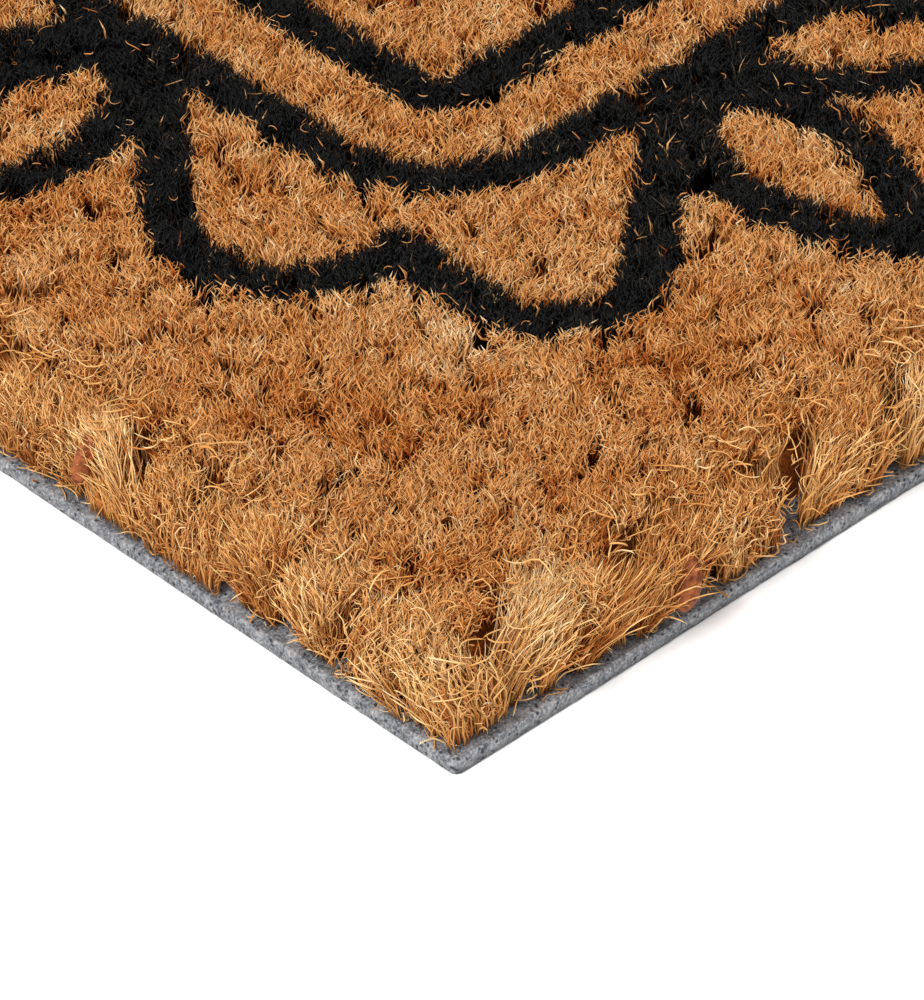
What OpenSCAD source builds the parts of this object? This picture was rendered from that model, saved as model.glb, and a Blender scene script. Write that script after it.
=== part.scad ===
// Coir door mat: natural and dyed coir pile standing in a PVC backing sheet.
// A black double border line runs round the mat, with a two-lobed leaf in each corner,
// clusters of pointed leaves along the border and a spray of leaves in the middle.
// Origin at the centre of the underside, +X along the long side, +Z up.

/* [Mat] */
// Length of the mat
mat_l = 600; // [560:1:900]
// Width of the mat
mat_w = 400; // [360:1:600]
// Radius of the cut corners of the backing
corner_r = 1.2; // [0.6:0.1:4]
// Thickness of the PVC backing
backing_t = 2; // [1.5:0.1:4]
// Height of the coir pile above the backing
pile_h = 13; // [8:0.5:20]
// Bare ledge of backing outside the pile
ledge = 0.8; // [0.5:0.1:3]

/* [Pattern] */
// Width of a dyed line
line_w = 6.4; // [5:0.1:8]
// Outer border line: distance from the short side of the mat
outer_x = 53.1; // [50:0.1:56]
// Outer border line: distance from the long side of the mat
outer_y = 57.8; // [56:0.1:62]
// Outer border line: radius of its corners
outer_r = 17; // [12:1:20]
// Inner border line: distance from the outer one
line_gap = 15.4; // [13:0.1:18]
// Inner border line: radius of its corners
inner_r = 3; // [2:1:9]
// Length of a border leaf
leaf_l = 36; // [30:1:40]
// Width of a border leaf
leaf_w = 16.8; // [14:0.1:20]
// Half the widest gap between two lines that the dye closes
join_r = 0.5; // [0.3:0.1:1.5]

/* [Corner lobes] */
// Point between the two lobes: distance from the short side
cusp_x = 46.5; // [42:0.5:50]
// Point between the two lobes: distance from the long side
cusp_y = 56.5; // [53:0.5:57]
// Lobe beside the short side: centre of its round end, from the short side
short_lobe_x = 42.5; // [38:0.5:46]
// Lobe beside the short side: centre of its round end, from the long side
short_lobe_y = 70; // [69.5:0.5:74]
// Lobe beside the short side: radius of its round end
short_lobe_r = 13.5; // [11:0.5:14]
// Lobe beside the short side: where it meets the outer line, from the long side
short_lobe_end = 104; // [98:1:110]
// Lobe beside the long side: centre of its round end, from the short side
long_lobe_x = 56.5; // [51:0.5:59]
// Lobe beside the long side: centre of its round end, from the long side
long_lobe_y = 43.5; // [40:0.5:48]
// Lobe beside the long side: radius of its round end
long_lobe_r = 11; // [9:0.5:13]
// Lobe beside the long side: where it meets the outer line, from the short side
long_lobe_end = 90; // [83:0.5:94]

/* [Corner leaves] */
// Pair on the long side: distance of its first leaf from the short side
long_pair_x = 90.5; // [86:0.5:93]
// Pair on the short side: distance of its first leaf from the long side
short_pair_y = 104; // [100:0.5:108]
// Base of the first leaf outside the middle of the outer line
first_leaf_out = 4; // [2:0.5:6]
// Lean of the first leaf toward the corner of the mat
first_leaf_lean = 5; // [0:1:15]
// Base of the second leaf inside the middle of the outer line
second_leaf_in = 4.5; // [0:0.5:6]
// Base of the second leaf beyond the first, along the line
second_leaf_along = 9; // [6:0.5:12]
// Lean of the second leaf away from the corner of the mat
second_leaf_lean = 41; // [30:1:60]

/* [Middle spray] */
// Length of the two long middle leaves
spray_l = 84; // [60:1:100]
// Width of the two long middle leaves
spray_w = 32; // [26:1:36]
// Length of the four short middle leaves
side_spray_l = 58; // [40:1:60]
// Width of the four short middle leaves
side_spray_w = 24; // [20:1:26]
// Angle of the short middle leaves to the long ones
side_spray_angle = 58; // [50:1:65]
// Radius of the ring in the middle
ring_r = 13; // [10:1:16]

/* [Hidden] */

lobe_steps = 10;                    // straight pieces along the round end of a lobe
leaf_steps = 8;                     // straight pieces along one side of a leaf
end_fn = 16;                        // sides of the round end of a line
arc_fn = 40;                        // sides of a full turn of a round corner
tuft = 0.6;                         // half the narrowest strip that can hold a tuft
cx = mat_l / 2;
cy = mat_w / 2;
tan_coir = [0.70, 0.47, 0.25];
black_coir = [0.12, 0.12, 0.11];
pvc_grey = [0.50, 0.49, 0.46];

side_leaf_spread = 42;              // angle between the leaves in the middle of a side
side_leaf_step = 5;                 // distance between the bases of those leaves

// Places in the near left corner, measured from the tip of the mat's corner
cusp = [cusp_x, cusp_y];
short_lobe_tie = [outer_x, short_lobe_end];
long_lobe_tie = [long_lobe_end, outer_y];

// Angle on a circle of radius r round c at which a line from point p touches it,
// on the side of p that lies further round the circle (1) or less far (-1)
function touch_angle(c, r, p, side) = atan2(p[1] - c[1], p[0] - c[0]) + side * acos(r / norm(p - c));

// Centreline of a lobe: straight from p on to the circle of radius r round c, round it anticlockwise,
// and straight off it to q
function lobe(c, r, p, q) =
    let (start = touch_angle(c, r, p, 1), turn = (touch_angle(c, r, q, -1) - start + 720) % 360)
    concat([p], [for (k = [0:lobe_steps]) c + r * [cos(start + turn * k / lobe_steps),
                                                  sin(start + turn * k / lobe_steps)]], [q]);

short_side_lobe = lobe([short_lobe_x, short_lobe_y], short_lobe_r, short_lobe_tie, cusp);
long_side_lobe = lobe([long_lobe_x, long_lobe_y], long_lobe_r, cusp, long_lobe_tie);

// Unit normal of path p at point i
function normal(p, i) = let (d = p[min(i + 1, len(p) - 1)] - p[max(i - 1, 0)]) [-d[1], d[0]] / norm(d);

// Half width of a pointed leaf at part t of its length
function leaf_half(t, w) = w / 2 * pow(sin(180 * pow(t, 0.85)), 0.75);

// A line of the dyed width along path p, with round ends
module stroke(p) {
    side = line_w / 2;
    left = [for (i = [0:len(p) - 1]) p[i] + side * normal(p, i)];
    right = [for (i = [len(p) - 1:-1:0]) p[i] - side * normal(p, i)];
    polygon(concat(left, right));
    translate(p[0]) circle(side, $fn = end_fn);
    translate(p[len(p) - 1]) circle(side, $fn = end_fn);
}

// One side of a pointed leaf, from its base at the origin to its tip on +X
function leaf_side(l, w, sign) =
    [for (i = [0:leaf_steps]) [l * i / leaf_steps, sign * leaf_half(i / leaf_steps, w)]];

// A whole pointed leaf
module leaf(l, w) {
    upper = leaf_side(l, w, 1);
    lower = leaf_side(l, w, -1);
    polygon(concat(upper, [for (i = [leaf_steps - 1:-1:1]) lower[i]]));
}

// The dyed line round a pointed leaf
module leaf_line(l, w) {
    stroke(leaf_side(l, w, 1));
    stroke(leaf_side(l, w, -1));
}

// The dyed line along the edge of its children, which have no sharp points
module outline() {
    difference() {
        offset(delta = line_w / 2) children();
        offset(delta = -line_w / 2) children();
    }
}

// A rectangle with round corners, dx and dy in from the sides of the mat
module inset_plan(dx, dy, r) {
    l = mat_l - 2 * dx;
    w = mat_w - 2 * dy;
    square([l - 2 * r, w], center = true);
    square([l, w - 2 * r], center = true);
    for (sx = [-1, 1], sy = [-1, 1])
        translate([sx * (l / 2 - r), sy * (w / 2 - r)]) circle(r, $fn = arc_fn);
}

// Its children in all four corners, drawn from the tip of the near left corner
module in_corners() {
    for (sx = [0, 1], sy = [0, 1])
        mirror([sx, 0]) mirror([0, sy]) translate([-cx, -cy]) children();
}

module outer_plan() inset_plan(outer_x, outer_y, outer_r);
module inner_plan() inset_plan(outer_x + line_gap, outer_y + line_gap, inner_r);

// The whole of both lobes in every corner
module lobe_plan() {
    in_corners() polygon(concat(short_side_lobe, long_side_lobe, [[long_lobe_end, short_lobe_end]]));
}

// The dyed lines of the lobes
module lobe_lines() {
    in_corners() {
        stroke(short_side_lobe);
        stroke(long_side_lobe);
    }
}

// Its children at the bases of the pair of leaves on the long side, from where the pair stands
module at_pair() {
    translate([0, -first_leaf_out]) rotate(-90 - first_leaf_lean) children();
    translate([second_leaf_along, second_leaf_in]) rotate(-90 + second_leaf_lean) children();
}

// Its children at the base of every border leaf: two pairs in each corner and a cluster in the middle
// of each side
module at_border_leaves() {
    in_corners() {
        translate([long_pair_x, outer_y]) at_pair() children();
        translate([outer_x, short_pair_y]) mirror([1, -1]) at_pair() children();
    }
    for (side = [0:3], k = [-1, 0, 1]) {
        reach = side % 2 == 0 ? cy - outer_y : cx - outer_x;
        rotate(90 * side) translate([-k * side_leaf_step, -reach])
            rotate(-90 - k * side_leaf_spread) children();
    }
}

module leaf_plan() at_border_leaves() leaf(leaf_l, leaf_w);
module leaf_lines() at_border_leaves() leaf_line(leaf_l, leaf_w);

// Its children at the bases of the two long leaves of the middle spray
module at_long_leaves() {
    for (a = [0, 180]) rotate(a) translate([ring_r, 0]) children();
}

// Its children at the bases of the four short leaves of the middle spray
module at_short_leaves() {
    for (a = [-1, 1], b = [0, 180])
        rotate(b + a * side_spray_angle) translate([ring_r, 0]) children();
}

// The middle spray with its leaves and its ring filled in
module spray_plan() {
    circle(ring_r, $fn = arc_fn);
    at_long_leaves() leaf(spray_l, spray_w);
    at_short_leaves() leaf(side_spray_l, side_spray_w);
}

// The dyed lines of the middle spray and its ring
module spray_lines() {
    outline() circle(ring_r, $fn = arc_fn);
    at_long_leaves() leaf_line(spray_l, spray_w);
    at_short_leaves() leaf_line(side_spray_l, side_spray_w);
}

// All the dyed lines, with the narrow gaps where they join filled
module dyed() {
    offset(delta = -join_r) offset(delta = join_r) {
        outline() outer_plan();
        outline() inner_plan();
        difference() {
            union() {
                lobe_lines();
                leaf_lines();
            }
            offset(delta = -line_w / 2) outer_plan();
        }
        spray_lines();
    }
}

// Pile of one colour over its children, without strips too narrow to hold a tuft
module pile(tint) {
    color(tint) translate([0, 0, backing_t]) linear_extrude(pile_h)
        offset(delta = tuft) offset(delta = -tuft) children();
}

// Dyed pile along the lines of its first child, outside the lines of its second
module dyed_pile() {
    pile(black_coir) difference() {
        intersection() {
            dyed();
            offset(delta = tuft) children(0);
        }
        if ($children > 1) offset(delta = tuft) children(1);
    }
}

// Natural pile inside its first child, outside its second and between the dyed lines
module natural_pile() {
    pile(tan_coir) difference() {
        children(0);
        if ($children > 1) children(1);
        dyed();
    }
}

// Grey PVC sheet that holds the roots of all the fibres
module pvc_backing() {
    color(pvc_grey) linear_extrude(backing_t) inset_plan(0, 0, corner_r);
}

// Natural pile between the edge of the mat and the pattern
module edge_pile() {
    natural_pile() {
        square([mat_l - 2 * ledge, mat_w - 2 * ledge], center = true);
        union() {
            outer_plan();
            lobe_plan();
            leaf_plan();
        }
    }
}

// Natural pile inside the two lobes of each corner
module lobe_pile() {
    natural_pile() {
        lobe_plan();
        union() {
            outer_plan();
            leaf_plan();
        }
    }
}

// Natural pile inside the border leaves
module leaf_pile() {
    natural_pile() {
        leaf_plan();
        outer_plan();
    }
}

// Natural pile between the two border lines
module frame_pile() {
    natural_pile() {
        outer_plan();
        inner_plan();
    }
}

// Natural pile of the middle field
module centre_pile() {
    natural_pile() {
        inner_plan();
        spray_plan();
    }
}

// Natural pile inside the leaves and the ring of the middle spray
module spray_pile() {
    natural_pile() spray_plan();
}

// Dyed pile of the outer border line
module outer_line() {
    dyed_pile() outline() outer_plan();
}

// Dyed pile of the inner border line
module inner_line() {
    dyed_pile() outline() inner_plan();
}

// Dyed pile of the corner lobes
module corner_lobes() {
    dyed_pile() {
        lobe_lines();
        outline() outer_plan();
    }
}

// Dyed pile of the border leaves
module border_leaves() {
    dyed_pile() {
        leaf_lines();
        union() {
            outline() outer_plan();
            lobe_lines();
        }
    }
}

// Dyed pile of the middle spray and its ring
module leaf_spray() {
    dyed_pile() spray_lines();
}

pvc_backing();
edge_pile();
lobe_pile();
leaf_pile();
frame_pile();
centre_pile();
spray_pile();
outer_line();
inner_line();
corner_lobes();
border_leaves();
leaf_spray();
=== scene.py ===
import math

import bpy
import numpy as np
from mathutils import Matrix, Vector


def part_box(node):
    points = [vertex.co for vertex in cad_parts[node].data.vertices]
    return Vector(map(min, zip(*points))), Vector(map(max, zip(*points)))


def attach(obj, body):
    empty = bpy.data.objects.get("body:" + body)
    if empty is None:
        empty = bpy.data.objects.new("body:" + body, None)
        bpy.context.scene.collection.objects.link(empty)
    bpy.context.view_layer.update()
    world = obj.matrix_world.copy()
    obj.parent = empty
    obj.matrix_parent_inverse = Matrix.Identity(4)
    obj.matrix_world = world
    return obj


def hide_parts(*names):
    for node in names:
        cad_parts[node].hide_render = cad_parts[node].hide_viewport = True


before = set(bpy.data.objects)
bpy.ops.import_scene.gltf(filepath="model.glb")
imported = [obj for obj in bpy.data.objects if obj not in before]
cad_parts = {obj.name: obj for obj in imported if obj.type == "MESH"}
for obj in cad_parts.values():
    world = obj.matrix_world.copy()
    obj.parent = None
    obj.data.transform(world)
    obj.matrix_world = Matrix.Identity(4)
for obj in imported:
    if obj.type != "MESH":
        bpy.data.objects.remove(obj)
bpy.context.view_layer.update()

# ---------------------------------------------------------------------------------------------
# Studio. A pale floor and a white backdrop, lit by one large soft light from the short side of
# the mat and a weak fill, seen by a long lens that looks down on the mat's near left corner.
# ---------------------------------------------------------------------------------------------
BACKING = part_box("pvc_backing")
CORNER = Vector((BACKING[0][0], BACKING[0][1], 0))
AIM = CORNER + Vector((0.0326, 0.0326, 0))      # where the middle of the picture meets the floor
DISTANCE = 0.757                # from the lens to that place
TURN = math.radians(45.8)       # direction of view in plan, from +X
DIP = math.radians(38.6)        # angle of view below level
VIEW = Vector((math.cos(TURN) * math.cos(DIP), math.sin(TURN) * math.cos(DIP), -math.sin(DIP)))
EYE = AIM - DISTANCE * VIEW
LENS_MM = 252                   # a long lens, so that the mat's sides stay nearly parallel
SENSOR_MM = 36
PICTURE = (924, 1000)           # width and height of the picture


def place_camera():
    data = bpy.data.cameras.new("camera")
    data.lens = LENS_MM
    data.sensor_width = SENSOR_MM
    data.clip_start = 0.01
    data.clip_end = 60
    camera = bpy.data.objects.new("camera", data)
    bpy.context.collection.objects.link(camera)
    camera.location = EYE
    camera.rotation_euler = VIEW.to_track_quat("-Z", "Y").to_euler()
    bpy.context.scene.camera = camera


def soft_light(name, place, aim, size, power, colour):
    data = bpy.data.lights.new(name, "AREA")
    data.shape = "DISK"
    data.size = size
    data.energy = power
    data.color = colour
    light = bpy.data.objects.new(name, data)
    bpy.context.collection.objects.link(light)
    light.location = place
    light.rotation_euler = (Vector(aim) - Vector(place)).to_track_quat("-Z", "Y").to_euler()


class Value:
    """An output socket of a node, with arithmetic that adds Math nodes."""

    def __init__(self, finish, socket):
        self.finish = finish
        self.socket = socket

    def maths(self, operation, *others):
        inputs = {0: self}
        inputs.update({i + 1: other for i, other in enumerate(others)})
        return self.finish.add("ShaderNodeMath", {"operation": operation}, inputs)

    def __add__(self, other):
        return self.maths("ADD", other)

    def __sub__(self, other):
        return self.maths("SUBTRACT", other)

    def __rsub__(self, other):
        return self.finish.add("ShaderNodeMath", {"operation": "SUBTRACT"}, {0: other, 1: self})

    def __mul__(self, other):
        return self.maths("MULTIPLY", other)

    def __truediv__(self, other):
        return self.maths("DIVIDE", other)

    __radd__ = __add__
    __rmul__ = __mul__


class Finish:
    """A material while its nodes are being put together."""

    def __init__(self, name):
        self.material = bpy.data.materials.new(name)
        self.material.use_nodes = True
        self.tree = self.material.node_tree
        self.tree.nodes.clear()

    def add(self, kind, settings=None, inputs=None, output=0):
        """A node with its settings, and then the values or links of its sockets; returns one output."""
        node = self.tree.nodes.new(kind)
        for key, value in (settings or {}).items():
            if key == "stops":
                ramp = node.color_ramp
                while len(ramp.elements) < len(value):
                    ramp.elements.new(0.5)
                for element, (place, colour) in zip(ramp.elements, value):
                    element.position = place
                    element.color = (*colour, 1)
            else:
                setattr(node, key, value)
        for key, value in (inputs or {}).items():
            if isinstance(value, Value):
                self.tree.links.new(value.socket, node.inputs[key])
            else:
                node.inputs[key].default_value = value
        return Value(self, node.outputs[output]) if node.outputs else None

    def mix(self, amount, first, second, blend="MIX"):
        """Two colours blended by an amount from 0 to 1."""
        inputs = {0: amount, 6: first, 7: second}
        settings = {"data_type": "RGBA", "blend_type": blend}
        return self.add("ShaderNodeMix", settings, inputs, output=2)

    def close(self, **inputs):
        """Ends the material with a Principled shader, whose inputs are named with _ for a space."""
        named = {key.replace("_", " "): value for key, value in inputs.items()}
        shader = self.add("ShaderNodeBsdfPrincipled", None, named, output="BSDF")
        self.add("ShaderNodeOutputMaterial", None, {"Surface": shader})
        return self.material


def srgb(red, green, blue):
    """A colour given as 0 to 255 screen values, as linear light."""
    steps = [c / 255 for c in (red, green, blue)]
    return tuple(c / 12.92 if c <= 0.04045 else ((c + 0.055) / 1.055) ** 2.4 for c in steps)


def floor_finish():
    finish = Finish("studio_floor")
    return finish.close(Base_Color=(0.9, 0.9, 0.9, 1), Roughness=0.9, Specular_IOR_Level=0.1)


def white_backdrop():
    world = bpy.data.worlds.new("studio_white")
    bpy.context.scene.world = world
    world.use_nodes = True
    tree = world.node_tree
    tree.nodes.clear()
    ambient = tree.nodes.new("ShaderNodeBackground")
    ambient.inputs["Color"].default_value = (1, 1, 1, 1)
    ambient.inputs["Strength"].default_value = 0.56
    seen = tree.nodes.new("ShaderNodeBackground")
    seen.inputs["Strength"].default_value = 1.0
    seen.inputs["Color"].default_value = (1, 1, 1, 1)
    path = tree.nodes.new("ShaderNodeLightPath")
    either = tree.nodes.new("ShaderNodeMixShader")
    out = tree.nodes.new("ShaderNodeOutputWorld")
    tree.links.new(path.outputs["Is Camera Ray"], either.inputs[0])
    tree.links.new(ambient.outputs[0], either.inputs[1])
    tree.links.new(seen.outputs[0], either.inputs[2])
    tree.links.new(either.outputs[0], out.inputs["Surface"])


bpy.ops.object.select_all(action="DESELECT")
place_camera()
white_backdrop()
bpy.ops.mesh.primitive_plane_add(size=40, location=(0, 0, 0))
floor = bpy.context.object
floor.name = "floor"
floor.data.materials.append(floor_finish())
soft_light("key_light", (-2.5, -0.6, 2.5), (-0.2, -0.1, 0), 1.3, 127, (1, 0.995, 0.985))
soft_light("fill_light", (1.0, -2.6, 2.0), (0, 0, 0), 2.2, 38, (1, 0.99, 0.98))
bpy.context.scene.view_settings.view_transform = "Standard"

# ---------------------------------------------------------------------------------------------
# PVC backing. A 2 mm sheet of grey PVC, cast flat, with the roots of the coir cured into it.
# It is cut to size by hand, so its edge waves slightly and the cut face is rough.
# Painted shade darkens the foot of the cut face, most on the near long side.
# ---------------------------------------------------------------------------------------------
EDGE_STEP = 0.0011          # length of one face along the cut edge
EDGE_WAVE = 0.00012         # how far the hand cut wanders
RIM_ROUND = 0.00035         # rounding of the upper and lower rim
CORNER_ROUND = 0.0012       # rounding of the four corners in plan
CORNER_FACES = 8            # faces round one of those corners
CUT_ROUGHNESS = 0.00003     # spread of the small bumps on the cut face
PAINTED_SHADE_TOP = 0.0012          # how far up the cut face the painted shade at its foot reaches


def rim_path(inset):
    """Points round the mat at a distance inside its edge, anticlockwise, and their outward normals."""
    half = np.array([BACKING[1][0] - inset, BACKING[1][1] - inset])
    r = max(CORNER_ROUND - inset, 0.0002)
    points, normals = [], []
    for i in range(4):
        turn = math.pi / 2 * i
        sx, sy = [(1, -1), (1, 1), (-1, 1), (-1, -1)][i]
        centre = np.array([sx * (half[0] - r), sy * (half[1] - r)])
        for k in range(CORNER_FACES + 1):
            a = turn - math.pi / 2 + math.pi / 2 * k / CORNER_FACES
            normal = np.array([math.cos(a), math.sin(a)])
            points.append(centre + r * normal)
            normals.append(normal)
        side = [half[1], half[0]][i % 2] * 2 - 2 * r
        count = int(side / EDGE_STEP)
        along = [np.array([0, 1]), np.array([-1, 0]), np.array([0, -1]), np.array([1, 0])][i]
        start = points[-1]
        for k in range(1, count):
            points.append(start + along * side * k / count)
            normals.append(normals[-1])
    return np.array(points), np.array(normals)


def smooth_noise(rng, count, span):
    """count values of mean 0 and spread 1 that change over about span steps, and close on themselves."""
    knots = max(4, count // span)
    values = rng.normal(size=knots)
    at = np.arange(count) * knots / count
    i = at.astype(int)
    f = at - i
    f = f * f * (3 - 2 * f)
    return values[i % knots] * (1 - f) + values[(i + 1) % knots] * f


def backing_finish():
    finish = Finish("speckled_pvc")
    place = finish.add("ShaderNodeTexCoord", output="Object")
    cloud = finish.add("ShaderNodeTexNoise", None, {"Vector": place, "Scale": 620.0, "Detail": 3.0})
    fleck = finish.add("ShaderNodeTexVoronoi", None, {"Vector": place, "Scale": 2000.0})
    grain = finish.add("ShaderNodeTexNoise", None, {"Vector": place, "Scale": 3000.0, "Detail": 2.0})
    pit = finish.add("ShaderNodeTexVoronoi", None, {"Vector": place, "Scale": 1350.0})
    base = finish.add("ShaderNodeValToRGB", {"stops": [
        (0.36, srgb(58, 62, 68)), (0.5, srgb(112, 114, 118)), (0.64, srgb(168, 169, 172))]}, {0: grain})
    clouded = finish.mix(0.5, base, finish.add("ShaderNodeValToRGB", {"stops": [
        (0.36, srgb(70, 74, 80)), (0.5, srgb(112, 114, 118)), (0.64, srgb(154, 155, 157))]}, {0: cloud}))
    dark = finish.add("ShaderNodeMapRange", None, {0: pit, 1: 0.22, 2: 0.34, 3: 1.0, 4: 0.0})
    pale = finish.add("ShaderNodeMapRange", None, {0: fleck, 1: 0.12, 2: 0.24, 3: 1.0, 4: 0.0})
    patch = finish.add("ShaderNodeTexNoise", None, {"Vector": place, "Scale": 900.0, "Detail": 1.0})
    rare = finish.add("ShaderNodeMapRange", None, {0: patch, 1: 0.44, 2: 0.54, 3: 0.0, 4: 1.0})
    colour = finish.mix(dark * rare * 0.9, clouded, (*srgb(26, 29, 34), 1))
    colour = finish.mix(pale * (1 - rare) * 0.6, colour, (*srgb(196, 197, 200), 1))
    # painted shade along the foot of the cut face, most of it on the near long side
    across = finish.add("ShaderNodeSeparateXYZ", None, {0: place}, output="Y")
    up = finish.add("ShaderNodeSeparateXYZ", None, {0: place}, output="Z")
    painted_foot_shade = finish.add("ShaderNodeMapRange", None, {0: up, 1: 0.0002, 2: PAINTED_SHADE_TOP, 3: 1.0, 4: 0.0})
    # how much of that painted shade each side of the sheet gets
    shade_by_side = finish.add("ShaderNodeMapRange", None, {
        0: across, 1: BACKING[0][1] + 0.0002, 2: BACKING[0][1] + 0.0008, 3: 0.75, 4: 0.1})
    colour = finish.mix(painted_foot_shade * shade_by_side, colour, (*srgb(44, 45, 48), 1))
    height = grain * 0.5 + cloud * 0.3 - dark * rare * 0.6
    bump = finish.add("ShaderNodeBump", None, {"Strength": 0.5, "Distance": 0.0002, "Height": height})
    return finish.close(Base_Color=colour, Roughness=0.62, Specular_IOR_Level=0.35, Normal=bump)


def make_backing():
    """The sheet as rings of points: underside, rounded rims, rough cut face and the bare ledge."""
    rng = np.random.default_rng(11)
    top = BACKING[1][2]
    r = RIM_ROUND
    rows = [(0.012, 0.0), (0.002, 0.0), (r, 0.0), (0.3 * r, 0.3 * r), (0.0, r)]
    rows += [(0.0, r + (top - 2 * r) * k / 4) for k in range(1, 4)]
    rows += [(0.0, top - r), (0.3 * r, top - 0.3 * r), (r, top), (0.0012, top), (0.0024, top), (0.012, top)]
    points, normals = rim_path(0)
    count = len(points)
    wave = EDGE_WAVE * (smooth_noise(rng, count, 40) + 0.2 * smooth_noise(rng, count, 9))
    rings = []
    for inset, z in rows:
        rough = CUT_ROUGHNESS * rng.normal(size=count) if z > 0 and inset < 0.0015 else 0
        lift = 0.00005 * smooth_noise(rng, count, 7) if z == top else 0
        out = wave - inset + rough
        ring = np.column_stack([points + normals * out[:, None], np.full(count, z) + lift])
        rings.append(ring)
    verts = np.concatenate(rings)
    faces = []
    for k in range(len(rows) - 1):
        low, high = k * count, (k + 1) * count
        faces += [(low + i, low + (i + 1) % count, high + (i + 1) % count, high + i) for i in range(count)]
    faces.append(tuple(range(count - 1, -1, -1)))
    faces.append(tuple(range((len(rows) - 1) * count, len(rows) * count)))
    mesh = bpy.data.meshes.new("pvc_sheet")
    mesh.from_pydata(verts.tolist(), [], faces)
    sheet = bpy.data.objects.new("pvc_sheet", mesh)
    bpy.context.collection.objects.link(sheet)
    return sheet


backing = make_backing()
backing.data.materials.append(backing_finish())
backing.data.shade_flat()
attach(backing, "root")
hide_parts("pvc_backing")

# ---------------------------------------------------------------------------------------------
# Packed roots of the pile. Between the fibres the pile is so dense that no light comes through:
# a dark brown mass, and black where the dye has soaked in. It stops short of the mat's edge.
# ---------------------------------------------------------------------------------------------
NATURAL = ["edge_pile", "lobe_pile", "leaf_pile", "frame_pile", "centre_pile", "spray_pile"]
DYED = ["outer_line", "inner_line", "corner_lobes", "border_leaves", "leaf_spray"]
PILE_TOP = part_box("edge_pile")[1][2]
PILE_ROOT = BACKING[1][2]
PILE_HEIGHT = PILE_TOP - PILE_ROOT
ROOTS_TOP = PILE_ROOT + 0.55 * PILE_HEIGHT
ROOTS_INSET = 0.0062        # from the mat's edge, where the tufts stand apart and show to the root


def roots_finish(name, dark, light):
    finish = Finish(name)
    place = finish.add("ShaderNodeTexCoord", output="Object")
    grain = finish.add("ShaderNodeTexNoise", None, {"Vector": place, "Scale": 2600.0, "Detail": 2.0})
    colour = finish.add("ShaderNodeValToRGB", {"stops": [(0.35, dark), (0.7, light)]}, {0: grain})
    return finish.close(Base_Color=colour, Roughness=0.9, Specular_IOR_Level=0.1)


def select_where(mesh, test):
    """In object mode, selects the points of a mesh that pass a test, with the edges between them."""
    for v in mesh.vertices:
        v.select = bool(test(v.co))
    for e in mesh.edges:
        e.select = all(mesh.vertices[i].select for i in e.vertices)
    for p in mesh.polygons:
        p.select = all(mesh.vertices[i].select for i in p.vertices)


def make_roots(node, finish):
    """A copy of a pile node's solid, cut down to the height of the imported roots."""
    roots = bpy.data.objects.new(node + "_roots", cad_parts[node].data.copy())
    bpy.context.collection.objects.link(roots)
    bpy.ops.object.select_all(action="DESELECT")
    bpy.context.view_layer.objects.active = roots
    roots.select_set(True)
    bpy.ops.object.mode_set(mode="EDIT")
    bpy.ops.mesh.select_all(action="SELECT")
    bpy.ops.mesh.remove_doubles(threshold=0.000002)
    bpy.ops.mesh.select_all(action="DESELECT")
    bpy.ops.object.mode_set(mode="OBJECT")
    half = (BACKING[1][0] - ROOTS_INSET, BACKING[1][1] - ROOTS_INSET)
    for v in roots.data.vertices:
        v.co.z = ROOTS_TOP if v.co.z > PILE_ROOT + 0.001 else PILE_ROOT
        v.co.x = min(max(v.co.x, -half[0]), half[0])
        v.co.y = min(max(v.co.y, -half[1]), half[1])
    roots.data.materials.clear()
    roots.data.materials.append(finish)
    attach(roots, "root")
    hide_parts(node)


natural_roots = roots_finish("packed_natural_roots", srgb(132, 68, 26), srgb(186, 112, 52))
dyed_roots = roots_finish("packed_dyed_roots", srgb(10, 10, 10), srgb(24, 23, 22))
for node in NATURAL:
    make_roots(node, natural_roots)
for node in DYED:
    make_roots(node, dyed_roots)

# ---------------------------------------------------------------------------------------------
# Plan of the dyed lines. The dye is printed on the sheared pile from above, so a fibre is black
# if its tip stands inside one of the dyed pile solids. No piece comes from this section.
# ---------------------------------------------------------------------------------------------
PLAN_STEP = 0.00025         # size of one square of the plan


def plan_of_dye():
    """Squares of the mat's plan that the dyed solids cover, as an array of true and false."""
    size = np.array([BACKING[1][0] - BACKING[0][0], BACKING[1][1] - BACKING[0][1]])
    plan = np.zeros(np.ceil(size / PLAN_STEP).astype(int), bool)
    for node in DYED:
        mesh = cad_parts[node].data
        mesh.calc_loop_triangles()
        co = np.zeros(len(mesh.vertices) * 3)
        mesh.vertices.foreach_get("co", co)
        co = co.reshape(-1, 3)
        index = np.zeros(len(mesh.loop_triangles) * 3, int)
        mesh.loop_triangles.foreach_get("vertices", index)
        corners = co[index.reshape(-1, 3)]
        top = corners[(corners[:, :, 2] > PILE_TOP - 0.0002).all(1)][:, :, :2]
        top = (top - np.array(BACKING[0][:2])) / PLAN_STEP
        for a, b, c in top:
            low = np.floor(np.minimum(np.minimum(a, b), c)).astype(int)
            high = np.ceil(np.maximum(np.maximum(a, b), c)).astype(int) + 1
            x, y = np.meshgrid(np.arange(low[0], high[0]) + 0.5, np.arange(low[1], high[1]) + 0.5,
                               indexing="ij")
            turns = [(q[0] - p[0]) * (y - p[1]) - (q[1] - p[1]) * (x - p[0])
                     for p, q in ((a, b), (b, c), (c, a))]
            inside = (np.minimum.reduce(turns) >= 0) | (np.maximum.reduce(turns) <= 0)
            plan[low[0]:high[0], low[1]:high[1]] |= inside[:plan.shape[0] - low[0], :plan.shape[1] - low[1]]
    return plan


DYE_PLAN = plan_of_dye()


def is_dyed(tips):
    """Which fibres are dyed, by the places of their tips."""
    cell = ((tips[:, :2] - np.array(BACKING[0][:2])) / PLAN_STEP).astype(int)
    cell = np.clip(cell, 0, np.array(DYE_PLAN.shape) - 1)
    return DYE_PLAN[cell[:, 0], cell[:, 1]]
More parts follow.
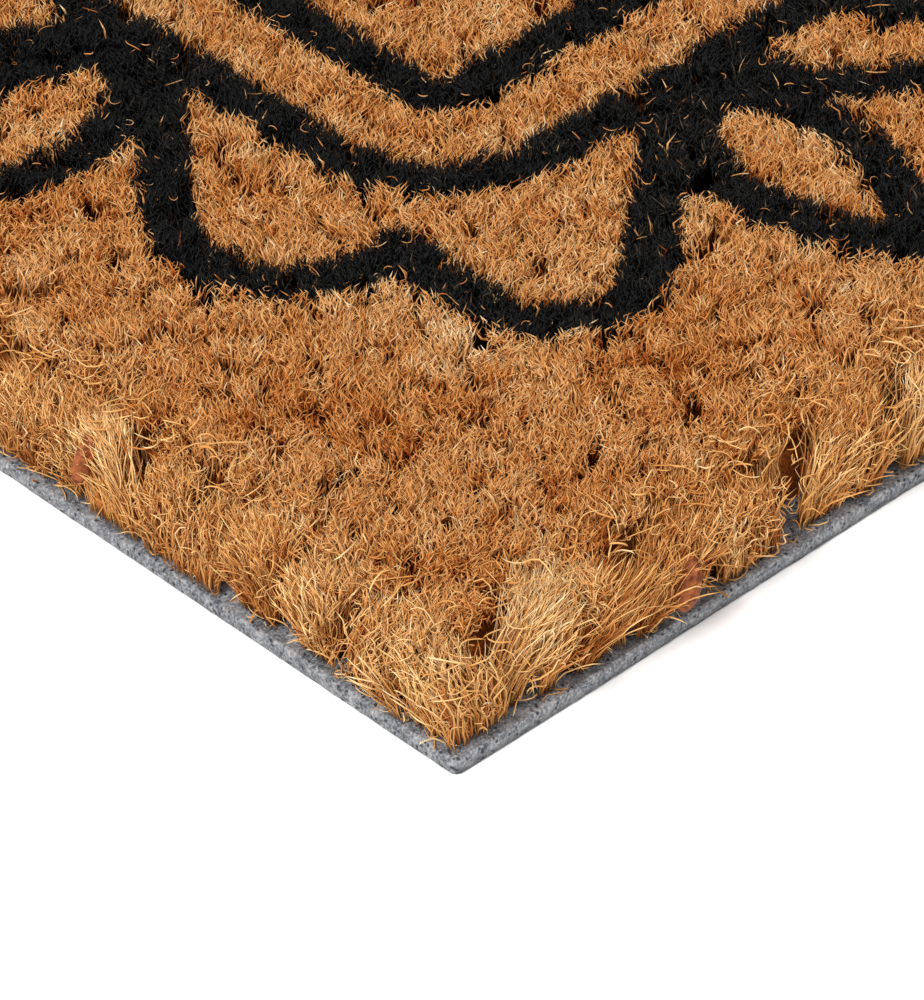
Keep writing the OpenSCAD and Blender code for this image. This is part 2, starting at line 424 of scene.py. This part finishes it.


# ---------------------------------------------------------------------------------------------
# Standing pile. Coir bristles about a quarter of a millimetre thick, sheared to one height. They
# stand in small clumps that lean their own way; the tips are pale, the painted shade below red brown.
# Away from the near left corner a coarser bristle does for several fine ones.
# ---------------------------------------------------------------------------------------------
TINTS = 48                  # columns of fibre tints across the UV map
PIECE_TRIANGLES = 185000    # most triangles in one piece


def model_bristle(rings, point):
    """One straight three-sided bristle of unit height, cut across at the given heights.

    With point it narrows to a point at both ends, otherwise it is cut off blunt at the top.
    """
    bpy.ops.object.select_all(action="DESELECT")
    bpy.ops.mesh.primitive_cylinder_add(vertices=3, radius=1, depth=1, location=(0, 0, 0.5),
                                        end_fill_type="NGON")
    bristle = bpy.context.object
    bpy.ops.object.transform_apply(location=True)
    bpy.ops.object.mode_set(mode="EDIT")
    for z in rings:
        bpy.ops.mesh.select_all(action="SELECT")
        bpy.ops.mesh.bisect(plane_co=(0, 0, z), plane_no=(0, 0, 1))
    bpy.ops.object.mode_set(mode="OBJECT")
    if rings and point:
        select_where(bristle.data, lambda co: co.z < 0.001)
        bpy.ops.object.mode_set(mode="EDIT")
        bpy.ops.mesh.merge(type="CENTER")
        bpy.ops.object.mode_set(mode="OBJECT")
    select_where(bristle.data, lambda co: co.z > 0.999)
    bpy.ops.object.mode_set(mode="EDIT")
    if point:
        bpy.ops.mesh.merge(type="CENTER")
    else:
        bpy.ops.transform.resize(value=(0.6, 0.6, 1))
    bpy.ops.object.mode_set(mode="OBJECT")
    mesh = bristle.data
    verts = np.array([v.co[:] for v in mesh.vertices])
    faces = [tuple(p.vertices) for p in mesh.polygons]
    bpy.data.objects.remove(bristle)
    bpy.data.meshes.remove(mesh)
    return verts, faces


def plant(name, bristle, paths, width, tint, finish, nodes):
    """Copies of a bristle, each bent along its own path, as pieces of at most PIECE_TRIANGLES.

    paths gives each bristle's points at evenly spread heights, width its radius, tint its place
    from 0 to 1 among the tints.
    """
    verts, faces = bristle
    per_bristle = sum(len(f) - 2 for f in faces)
    order = np.argsort(paths[:, 0, 0] + 0.0001 * paths[:, 0, 1], kind="stable")
    parts = max(1, math.ceil(len(paths) * per_bristle / PIECE_TRIANGLES))
    for number, chosen in enumerate(np.array_split(order, parts)):
        title = name if parts == 1 else f"{name}_{number + 1}"
        piece = copy_bristles(title, verts, faces, paths[chosen], width[chosen], tint[chosen])
        piece.data.materials.append(finish)
        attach(piece, "root")
        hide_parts(*nodes)


def copy_bristles(name, verts, faces, paths, width, tint):
    """One mesh of all the bristles: round each path the bristle's points, slimmer toward the top.

    The UV map holds the fibre's tint across and the height in the pile along.
    """
    count, knots = paths.shape[:2]
    t = np.clip(verts[:, 2], 0, 1)
    at = t * (knots - 1)
    i = np.minimum(at.astype(int), knots - 2)
    f = (at - i)[None, :, None]
    centre = paths[:, i] * (1 - f) + paths[:, i + 1] * f
    along = paths[:, -1] - paths[:, 0]
    along /= np.linalg.norm(along, axis=1)[:, None]
    spin = np.random.default_rng(count).uniform(0, 2 * np.pi, count)
    across = np.column_stack([np.cos(spin), np.sin(spin), np.zeros(count)])
    across -= along * (across * along).sum(1)[:, None]
    across /= np.linalg.norm(across, axis=1)[:, None]
    beside = np.cross(along, across)
    taper = (1 - 0.3 * t)[None, :, None] * width[:, None, None]
    co = centre + taper * (across[:, None] * verts[None, :, :1] + beside[:, None] * verts[None, :, 1:2])
    loops = np.concatenate([np.array(face) for face in faces])
    sizes = np.array([len(face) for face in faces])
    points = len(verts)
    index = (loops[None] + points * np.arange(count)[:, None]).ravel()
    mesh = bpy.data.meshes.new(name)
    mesh.vertices.add(count * points)
    mesh.vertices.foreach_set("co", co.reshape(-1).astype(np.float32))
    mesh.loops.add(len(index))
    mesh.loops.foreach_set("vertex_index", index.astype(np.int32))
    total = np.tile(sizes, count)
    mesh.polygons.add(len(total))
    mesh.polygons.foreach_set("loop_start", (np.cumsum(total) - total).astype(np.int32))
    mesh.polygons.foreach_set("use_smooth", np.ones(len(total), bool))
    mesh.update(calc_edges=True)
    column = np.minimum((tint * TINTS).astype(int), TINTS - 1)
    spread = 0.5 + 0.3 * verts[:, 0] / max(1e-9, np.abs(verts[:, 0]).max())
    u = (column[:, None] + spread[None, loops]) / TINTS
    v = np.broadcast_to((0.02 + 0.96 * t)[None, loops], u.shape)
    layer = mesh.uv_layers.new(name="OFBake")
    layer.data.foreach_set("uv", np.stack([u, v], axis=-1).reshape(-1).astype(np.float32))
    piece = bpy.data.objects.new(name, mesh)
    bpy.context.collection.objects.link(piece)
    return piece


def fibre_finish(name, tints, root_painted_shade, tip_shade, roughness, gloss):
    """A fibre's colour by its tint, with painted shade that darkens it from the cut tip down to the root.
    """
    finish = Finish(name)
    uv = finish.add("ShaderNodeUVMap", {"uv_map": "OFBake"})
    across = finish.add("ShaderNodeSeparateXYZ", None, {0: uv}, output="X")
    along = finish.add("ShaderNodeSeparateXYZ", None, {0: uv}, output="Y")
    column = ((across * TINTS).maths("FLOOR") + 0.5) / TINTS
    tint = finish.add("ShaderNodeValToRGB", {"stops": tints}, {0: column})
    # painted shade along the fibre: darkest at the root, deep in the pile, and none at the tip
    shade = finish.add("ShaderNodeValToRGB", {"stops": [
        (0.0, root_painted_shade), (0.55, tuple(0.5 * (a + b) for a, b in zip(root_painted_shade, tip_shade))),
        (0.9, tip_shade), (1.0, tuple(min(1, 1.12 * c) for c in tip_shade))]}, {0: along})
    colour = finish.mix(1.0, tint, shade, "MULTIPLY")
    return finish.close(Base_Color=colour, Roughness=roughness, Specular_IOR_Level=gloss)


def in_view(points, margin):
    """Which points the camera sees, with a margin as a share of the picture."""
    eye = np.array(EYE)
    forward = np.array(VIEW)
    right = np.cross(forward, [0, 0, 1])
    right /= np.linalg.norm(right)
    up = np.cross(right, forward)
    to = points - eye
    depth = to @ forward
    focal = LENS_MM / SENSOR_MM * max(PICTURE)
    x = focal * (to @ right) / depth / PICTURE[0]
    y = focal * (to @ up) / depth / PICTURE[1]
    return (np.abs(x) < 0.5 + margin) & (np.abs(y) < 0.5 + margin)


def scatter(rng, step, low, high):
    """One point in each square of side step between two corners, placed at random in its square."""
    x, y = np.meshgrid(np.arange(low[0], high[0], step), np.arange(low[1], high[1], step), indexing="ij")
    points = np.column_stack([x.ravel(), y.ravel()]) + step * rng.random((x.size, 2))
    return points[(points < np.array(high)).all(1)]


def clumps(rng, points, step):
    """For each point the nearest clump's centre and number, and how many clumps there are.

    The clumps stand about step apart.
    """
    origin = np.array(BACKING[0][:2]) - step
    cells = np.ceil((np.array(BACKING[1][:2]) + step - origin) / step).astype(int) + 1
    centres = origin + step * (np.stack(np.meshgrid(*map(np.arange, cells), indexing="ij"), -1)
                               + rng.random((*cells, 2)))
    home = ((points - origin) / step).astype(int)
    best = np.full(len(points), np.inf)
    number = np.zeros(len(points), int)
    for dx in (-1, 0, 1):
        for dy in (-1, 0, 1):
            i = np.clip(home[:, 0] + dx, 0, cells[0] - 1)
            j = np.clip(home[:, 1] + dy, 0, cells[1] - 1)
            apart = ((points - centres[i, j]) ** 2).sum(1)
            nearer = apart < best
            best[nearer] = apart[nearer]
            number[nearer] = (i * cells[1] + j)[nearer]
    return centres.reshape(-1, 2)[number], number, cells[0] * cells[1]


def edge_distance(points):
    """How far each point is inside the edge of the pile, and the outward direction there."""
    low = np.array(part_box("edge_pile")[0][:2])
    high = np.array(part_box("edge_pile")[1][:2])
    gaps = np.column_stack([points - low, high - points])
    weight = np.exp(-np.maximum(gaps, 0) / 0.004)
    out = (weight[:, [0]] * [-1, 0] + weight[:, [1]] * [0, -1]
           + weight[:, [2]] * [1, 0] + weight[:, [3]] * [0, 1])
    out /= np.maximum(np.linalg.norm(out, axis=1)[:, None], 1e-9)
    return gaps.min(1), out


# after its tints each fibre finish takes the painted shade at the root and the shade at the tip
coir = fibre_finish("natural_coir_fibre", [
    (0.0, srgb(150, 76, 26)), (0.16, srgb(190, 118, 52)), (0.45, srgb(214, 156, 92)),
    (0.75, srgb(222, 178, 122)), (0.93, srgb(230, 202, 154)), (1.0, srgb(240, 220, 182))],
    (0.66, 0.36, 0.13), (1.0, 1.0, 1.0), 0.65, 0.1)
black = fibre_finish("dyed_coir_fibre", [
    (0.0, srgb(6, 6, 6)), (0.6, srgb(13, 12, 12)), (0.92, srgb(26, 25, 24)), (1.0, srgb(84, 68, 48))],
    (0.5, 0.5, 0.5), (1.0, 1.0, 1.0), 0.55, 0.22)

CLUMP_STEP = 0.0029         # from one clump of fibres to the next
EDGE_BAND = 0.0045          # along the edge, where tufts stand in place of these fibres


def standing_paths(rng, points, foot, lean, hook):
    """Paths of standing fibres from a foot height up to the sheared top, and their tints.

    Each fibre bends off its own way twice near the top, by about hook sideways.
    """
    count = len(points)
    centre, number, total = clumps(rng, points, CLUMP_STEP)
    _, wide, wide_total = clumps(rng, points, 5 * CLUMP_STEP)
    # small clumps and wide patches each lean their own way
    clump_lean = rng.normal(size=(total, 2))[number]
    wide_lean = rng.normal(size=(wide_total, 2))[wide]
    inside, out = edge_distance(points)
    outward = out * (0.0012 * np.exp(-inside / 0.003))[:, None]
    # the shears leave the tops uneven by under half a millimetre, and some fibres fall short
    top = PILE_TOP + 0.0004 * rng.normal(size=total)[number] + 0.0004 * rng.normal(size=count)
    top = np.minimum(top - 0.0016 * rng.random(count) ** 3, PILE_TOP + 0.0012)
    heading = rng.uniform(0, 2 * np.pi, count)
    # two bends near the top, the second one turned to either side of the first
    hooks = []
    for turn in (0, rng.choice([-1, 1], count) * rng.uniform(0.8, 2.2, count)):
        size = hook * (0.4 + rng.random(count))
        hooks.append(size[:, None] * np.column_stack([np.cos(heading + turn), np.sin(heading + turn)]))
    low = points + lean * (0.6 * clump_lean + 0.25 * rng.normal(size=(count, 2))) + 0.12 * (centre - points)
    high = low + 0.3 * lean * (clump_lean + 0.6 * wide_lean) + hooks[0] + 0.5 * outward
    high += 0.05 * (centre - points)
    tip = high + 0.2 * lean * clump_lean + hooks[1] + 0.5 * outward
    rise = top - foot
    path = [np.column_stack([at, foot + share * rise])
            for at, share in ((points, 0), (low, 0.56), (high, 0.8), (tip, 1))]
    # the tint varies from clump to clump, from patch to patch, and most from fibre to fibre
    tint = 0.45 + 0.1 * rng.normal(size=total)[number] + 0.06 * rng.normal(size=wide_total)[wide]
    tint += 0.19 * rng.normal(size=count)
    return np.stack(path, axis=1), np.clip(tint, 0.001, 0.999)


NEAR = (BACKING[0][0] + 0.16, BACKING[0][1] + 0.16)     # far corner of the finely made part
FINE_STEP = 0.0003          # from one fine fibre to the next
FINE_RADIUS = 0.000125
FINE_FOOT = PILE_ROOT + 0.66 * PILE_HEIGHT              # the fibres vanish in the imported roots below
DYE_BLUR = 0.0002           # how far the edge of the dye wanders
MISSED = 0.008              # share of the fibres in the dyed lines that the dye has missed
COARSE_STEP = 0.0015        # from one coarse bristle to the next
COARSE_RADIUS = 0.00056
COARSE_FOOT = PILE_ROOT + 0.45 * PILE_HEIGHT
COARSE_REACH = 0.0005       # a coarse bristle this near to a dyed line counts as dyed


def seen_from_camera(points, z, margin=0.02):
    return in_view(np.column_stack([points, np.full(len(points), z)]), margin)


def radii(rng, count, radius, spread):
    """A radius for each of count fibres, about radius with a relative spread."""
    return radius * (1 + spread * rng.normal(size=count)).clip(0.5, 1.6)


fine_rng = np.random.default_rng(3)
points = scatter(fine_rng, FINE_STEP, BACKING[0][:2], NEAR)
inside, _ = edge_distance(points)
points = points[seen_from_camera(points, PILE_TOP) & (inside > EDGE_BAND)]
paths, tint = standing_paths(fine_rng, points, FINE_FOOT, lean=0.0008, hook=0.00085)
width = radii(fine_rng, len(points), FINE_RADIUS, 0.25)
dyed = is_dyed(paths[:, -1] + DYE_BLUR * fine_rng.normal(size=(len(points), 3)))
dyed &= fine_rng.random(len(points)) > MISSED
curly = fine_rng.random(len(points)) < 0.5
for name, bristle, kind in (("curled", model_bristle([1 / 3, 2 / 3], point=True), curly),
                            ("bent", model_bristle([2 / 3], point=True), ~curly)):
    tan, dark = kind & ~dyed, kind & dyed
    plant("natural_pile_" + name, bristle, paths[tan], width[tan], tint[tan], coir, NATURAL)
    plant("dyed_pile_" + name, bristle, paths[dark], width[dark], tint[dark], black, DYED)

coarse_rng = np.random.default_rng(4)
points = scatter(coarse_rng, COARSE_STEP, BACKING[0][:2], BACKING[1][:2])
inside, _ = edge_distance(points)
points = points[~seen_from_camera(points, PILE_TOP) & (inside > EDGE_BAND)]
paths, tint = standing_paths(coarse_rng, points, COARSE_FOOT, lean=0.0007, hook=0.0005)
width = radii(coarse_rng, len(points), COARSE_RADIUS, 0.2)
dyed = np.zeros(len(points), bool)
for direction in ((-1, 0, 0), (1, 0, 0), (0, -1, 0), (0, 1, 0)):
    dyed |= is_dyed(paths[:, -1] + COARSE_REACH * np.array(direction))
# coarse bristles take darker tints: painted shade in place of the shade among the fine fibres they stand
# for
tint = np.clip(tint - 0.1, 0.001, 0.999)
coarse = model_bristle([], point=True)
plant("natural_pile_coarse", coarse, paths[~dyed], width[~dyed], tint[~dyed], coir, NATURAL)
plant("dyed_pile_coarse", coarse, paths[dyed], width[dyed], tint[dyed], black, DYED)

# ---------------------------------------------------------------------------------------------
# Edge tufts. Along the cut edge the outermost fibres have lost their neighbours, so whole tufts
# show from root to tip. They splay out over the ledge, wavy and tangled, with dark gaps between.
# ---------------------------------------------------------------------------------------------
TUFT_STEP = 0.0075          # from one tuft to the next
TUFT_BAND = 0.0065          # how far in from the edge the tufts stand
TUFT_FIBRE_STEP = 0.00031   # from one fibre of a tuft to the next, near the corner
TUFT_RADIUS = 0.000105
FAR_TUFT_STEP = 0.0009      # the same two away from the corner
FAR_TUFT_RADIUS = 0.00032
# the outermost fibres: paler tints than the pile, and lighter painted shade toward the root
edge_coir = fibre_finish("edge_coir_fibre", [
    (0.0, srgb(172, 104, 50)), (0.2, srgb(212, 150, 84)), (0.5, srgb(232, 184, 118)),
    (0.8, srgb(242, 206, 144)), (1.0, srgb(248, 226, 178))],
    (0.66, 0.42, 0.20), (1.0, 1.0, 1.0), 0.65, 0.12)


def tuft_paths(rng, points, wave):
    """Full-length wavy fibres, gathered at the root and spread at the top.

    Returns their paths, their tints and which of them take the paler edge finish.
    """
    count = len(points)
    centre, number, total = clumps(rng, points, TUFT_STEP)
    # no tuft's middle lies outside the pile, so that no root is pulled off the backing
    low, high = (np.array(corner[:2]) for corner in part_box("edge_pile"))
    centre = np.clip(centre, low + 0.001, high - 0.001)
    inside, out = edge_distance(points)
    # tufts stand a little in or out of line, and further out along the short side
    shift = (0.0009 * rng.random(total) - 0.0006)[number] + 0.0004 * np.clip(-out[:, 0], 0, 1)
    gather = rng.uniform(0.1, 0.5, total)[number]
    root = points + gather[:, None] * (centre - points) + out * shift[:, None]
    side = np.column_stack([-out[:, 1], out[:, 0]])
    # the outermost fibres lean out and droop the most
    front = np.exp(-inside / 0.0022)
    droop = front * rng.random(count) ** 1.3
    fan = 1.3 * gather - rng.uniform(0, 0.6, total)[number]
    lean = out * (0.0005 + 0.0022 * rng.random(total)[number] * front + 0.0022 * droop)[:, None]
    lean += side * (0.0022 * rng.normal(size=total)[number])[:, None]
    lean += fan[:, None] * (points - centre) + 0.0009 * rng.normal(size=(count, 2))
    top = PILE_TOP - 0.0003 + 0.0007 * rng.normal(size=total)[number] + 0.0007 * rng.normal(size=count)
    top = np.minimum(top, PILE_TOP + 0.0012) - 0.006 * droop - 0.0015 * front * rng.random(count)
    # each fibre sways about its line and curls over at the tip
    knots = np.linspace(0, 1, 11)
    phase = rng.uniform(0, 2 * np.pi, (count, 2))
    turns = rng.uniform(0.8, 2.2, (count, 2))
    swing = wave * rng.normal(size=(count, 2)).clip(-2, 2)
    curl = 0.001 * rng.normal(size=(count, 2))
    paths = np.zeros((count, len(knots), 3))
    for k, t in enumerate(knots):
        sway = swing * (np.sin(2 * np.pi * turns * t + phase) - np.sin(phase)) * t ** 0.5
        paths[:, k, :2] = root + lean * t ** 1.3 + sway + curl * max(0, t - 0.6) ** 2 / 0.16
        paths[:, k, 2] = PILE_ROOT - 0.0003 + (top - PILE_ROOT) * t ** (1 - 0.35 * droop)
    tint = 0.5 + 0.12 * rng.normal(size=total)[number] + 0.2 * rng.normal(size=count)
    # the fibres nearest the edge take the paler finish with lighter painted shade
    pale_outer = rng.random(count) < np.exp(-inside / 0.003)
    return paths, np.clip(tint, 0.001, 0.999), pale_outer


def plant_tufts(name, bristle, paths, width, tint, pale_outer):
    """The outermost fibres get paler tints and lighter painted shade, the rest the pile's colour."""
    for kind, chosen, finish in (("pale_outer", pale_outer, edge_coir), ("natural", ~pale_outer, coir)):
        plant(f"{name}_{kind}", bristle, paths[chosen], width[chosen], tint[chosen], finish,
              ["edge_pile"])


tuft_bristle = model_bristle([0.2, 0.4, 0.6, 0.75, 0.88], point=True)
edge_rng = np.random.default_rng(5)
points = scatter(edge_rng, TUFT_FIBRE_STEP, BACKING[0][:2], NEAR)
inside, _ = edge_distance(points)
points = points[seen_from_camera(points, PILE_ROOT) & (inside > 0) & (inside < TUFT_BAND)]
paths, tint, pale_outer = tuft_paths(edge_rng, points, wave=0.0004)
width = radii(edge_rng, len(points), TUFT_RADIUS, 0.25)
plant_tufts("edge_tufts_fine", tuft_bristle, paths, width, tint, pale_outer)

far_rng = np.random.default_rng(6)
points = scatter(far_rng, FAR_TUFT_STEP, BACKING[0][:2], BACKING[1][:2])
inside, _ = edge_distance(points)
points = points[~seen_from_camera(points, PILE_ROOT) & (inside > 0) & (inside < EDGE_BAND)]
paths, tint, pale_outer = tuft_paths(far_rng, points, wave=0.0004)
width = radii(far_rng, len(points), FAR_TUFT_RADIUS, 0.22)
far_tuft_bristle = model_bristle([0.4, 0.75], point=True)
plant_tufts("edge_tufts_coarse", far_tuft_bristle, paths, width, tint, pale_outer)

# ---------------------------------------------------------------------------------------------
# Loose fibres. Shearing leaves pale curled strands caught on the pile, most of them along the
# edges, where they hang across the tufts and over the ledge; a few lie across the dyed lines.
# ---------------------------------------------------------------------------------------------
def strand_paths(rng, points, length, height, tilt, curl):
    """Curled strands that lie about level at a height above each point, and their tints."""
    count = len(points)
    knots = 9
    heading = rng.uniform(0, 2 * np.pi, count)
    turn = curl * rng.normal(size=count) / knots
    rise = tilt * rng.normal(size=count)
    step = length * (0.5 + rng.random(count)) / (knots - 1)
    paths = np.zeros((count, knots, 3))
    paths[:, 0, :2] = points
    paths[:, 0, 2] = height
    for k in range(1, knots):
        heading += turn * (0.5 + k / knots) + 0.12 * rng.normal(size=count)
        slope = rise * math.cos(math.pi * k / knots)
        paths[:, k] = paths[:, k - 1] + step[:, None] * np.column_stack(
            [np.cos(heading) * np.cos(slope), np.sin(heading) * np.cos(slope), np.sin(slope)])
    middle = paths[:, knots // 2, :2].copy()
    paths[:, :, :2] += (points - middle)[:, None]
    tint = 0.6 + 0.2 * rng.normal(size=count)
    return paths, np.clip(tint, 0.001, 0.999)


STRANDED = (BACKING[0][0] + 0.15, BACKING[0][1] + 0.15)     # far corner of the part with loose strands


def strand_radii(rng, count, radius):
    return radius * (1 + 0.2 * rng.normal(size=count)).clip(0.6, 1.5)


strand_bristle = model_bristle([0.17, 0.33, 0.5, 0.67, 0.83], point=True)
strand_rng = np.random.default_rng(7)

# on the pile, away from the edge
points = scatter(strand_rng, 0.005, BACKING[0][:2], STRANDED)
inside, _ = edge_distance(points)
points = points[seen_from_camera(points, PILE_TOP, 0.03) & (inside > 0.003)]
height = PILE_TOP - 0.0002 + 0.0007 * strand_rng.random(len(points))
paths, tint = strand_paths(strand_rng, points, 0.0022, height, tilt=0.5, curl=3.2)
width = strand_radii(strand_rng, len(points), 0.00007)
plant("surface_strands", strand_bristle, paths, width, tint, coir, NATURAL)

# over the edge tufts, the outermost ones hanging down in front of them
points = scatter(strand_rng, 0.0016, BACKING[0][:2], STRANDED)
inside, _ = edge_distance(points)
points = points[seen_from_camera(points, PILE_TOP, 0.03) & (inside > -0.0004) & (inside < 0.007)]
inside, _ = edge_distance(points)
hang = 0.0125 * strand_rng.random(len(points)) * np.exp(-np.maximum(inside, 0) / 0.0016)
paths, tint = strand_paths(strand_rng, points, 0.0045, PILE_TOP + 0.0006 - hang, tilt=0.9, curl=2.8)
width = strand_radii(strand_rng, len(points), 0.00011)
plant("edge_strands", strand_bristle, paths, width, tint, edge_coir, ["edge_pile"])

# at the foot of the tufts, down to the ledge
points = scatter(strand_rng, 0.00065, BACKING[0][:2], STRANDED)
inside, _ = edge_distance(points)
points = points[seen_from_camera(points, PILE_ROOT) & (inside > -0.0003) & (inside < 0.0011)]
height = PILE_ROOT + 0.0008 + 0.009 * strand_rng.random(len(points)) ** 1.4
paths, tint = strand_paths(strand_rng, points, 0.004, height, tilt=1.1, curl=3.0)
paths[:, :, 2] = np.maximum(paths[:, :, 2], PILE_ROOT + 0.00015)
width = strand_radii(strand_rng, len(points), 0.0001)
plant("foot_strands", strand_bristle, paths, width, tint, edge_coir, ["edge_pile"])

# ---------------------------------------------------------------------------------------------
# Husk chips. A few flakes of coconut husk come through the spinning with the fibres and stay
# caught near the edges of the pile: thin, curved, reddish brown, two to six millimetres long.
# ---------------------------------------------------------------------------------------------
def husk_finish():
    finish = Finish("husk")
    place = finish.add("ShaderNodeTexCoord", output="Object")
    grain = finish.add("ShaderNodeTexNoise", None, {"Vector": place, "Scale": 1500.0, "Detail": 3.0})
    colour = finish.add("ShaderNodeValToRGB", {"stops": [
        (0.35, srgb(88, 40, 18)), (0.65, srgb(158, 90, 50))]}, {0: grain})
    return finish.close(Base_Color=colour, Roughness=0.7, Specular_IOR_Level=0.2)


def make_chip(name, place, length, slope, turn):
    """A flat egg-shaped flake, curled along its length, at a place measured from the mat's corner.

    slope is the angle of its length above level, turn its direction in plan.
    """
    bpy.ops.object.select_all(action="DESELECT")
    bpy.ops.mesh.primitive_uv_sphere_add(segments=20, ring_count=12, radius=0.5, location=(0, 0, 0))
    chip = bpy.context.object
    chip.name = name
    for v in chip.data.vertices:
        narrow = 0.42 * (1 - 0.35 * v.co.x)
        v.co.z = 0.16 * v.co.z - 0.5 * v.co.x ** 2 - 0.9 * (v.co.y * narrow) ** 2
        v.co.y *= narrow
    chip.scale = (length, length, length)
    chip.rotation_euler = (0.8, -slope, turn)
    chip.location = (CORNER.x + place[0], CORNER.y + place[1], place[2])
    bpy.ops.object.transform_apply(location=True, rotation=True, scale=True)
    chip.data.materials.append(husk)
    chip.data.shade_smooth()
    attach(chip, "root")
    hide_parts("edge_pile")


husk = husk_finish()
make_chip("husk_chip_1", (0.0330, -0.0014, 0.0076), 0.0064, 1.2, 0.4)
make_chip("husk_chip_2", (-0.0012, 0.0554, 0.0112), 0.0056, 1.0, 0.3)
make_chip("husk_chip_3", (0.0290, 0.0170, 0.0151), 0.0018, 0.3, 2.0)
make_chip("husk_chip_4", (0.0655, 0.0150, 0.0150), 0.0020, 0.4, 0.2)
